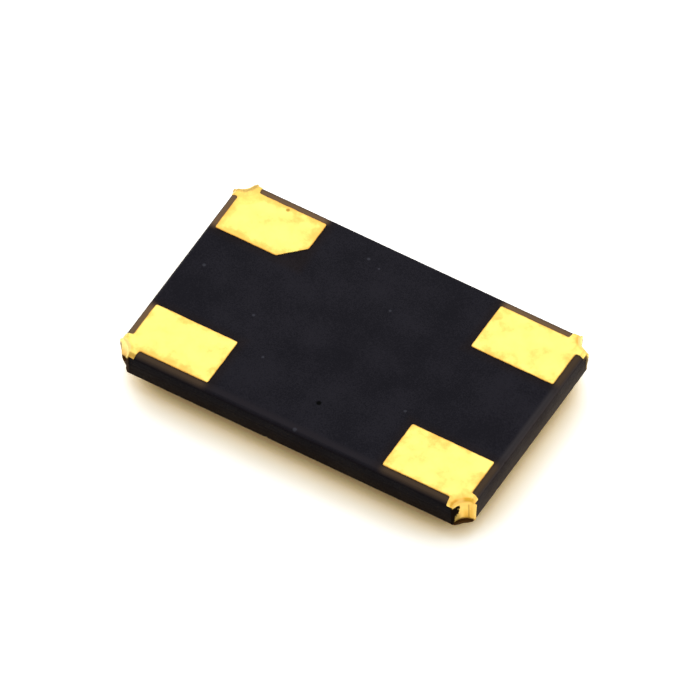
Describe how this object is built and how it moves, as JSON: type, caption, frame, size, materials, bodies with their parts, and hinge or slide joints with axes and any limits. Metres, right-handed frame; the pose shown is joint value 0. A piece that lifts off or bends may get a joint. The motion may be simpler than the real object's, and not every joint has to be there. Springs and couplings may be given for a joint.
{
  "type": "crystal oscillator",
  "caption": "Flat black ceramic surface-mount crystal oscillator with gold corner terminals, one cut to mark its orientation, on a seam-welded metal lid.",
  "frame": {"origin": "centre of the lid's outer face, on which the part lies with its terminals up", "axes": "+X along the long side, +Y along the short side towards terminals 1 and 2, +Z from the lid towards the terminals"},
  "size_m": [0.0052, 0.0032, 0.0007],
  "materials": {
    "black_ceramic": "satin",
    "gold_plating": "satin",
    "printed_gold": "satin",
    "silver_solder": "satin",
    "ring_alloy": "satin",
    "lid_alloy": "satin",
    "quartz": "polished",
    "electrode_film": "gloss",
    "silver_glue": "matte",
    "silicon": "gloss",
    "gold_wire": "gloss"
  },
  "bodies": {
    "root": {"ceramic_base": "black_ceramic", "terminal_1": "gold_plating", "terminal_2": "gold_plating", "terminal_3": "gold_plating", "terminal_4": "gold_plating", "enable_lead": "printed_gold", "ground_lead": "printed_gold", "output_lead": "printed_gold", "supply_lead": "printed_gold", "crystal_lead_a": "printed_gold", "crystal_lead_b": "printed_gold", "sealing_print": "printed_gold", "silver_solder": "silver_solder", "seal_ring": "ring_alloy", "lid": "lid_alloy", "quartz_blank": "quartz", "upper_electrode": "electrode_film", "lower_electrode": "electrode_film", "crystal_glue_a": "silver_glue", "crystal_glue_b": "silver_glue", "crystal_rest": "black_ceramic", "chip_glue": "silver_glue", "oscillator_chip": "silicon", "enable_wire": "gold_wire", "ground_wire": "gold_wire", "output_wire": "gold_wire", "supply_wire": "gold_wire", "crystal_wire_a": "gold_wire", "crystal_wire_b": "gold_wire"}
  },
  "joints": []
}
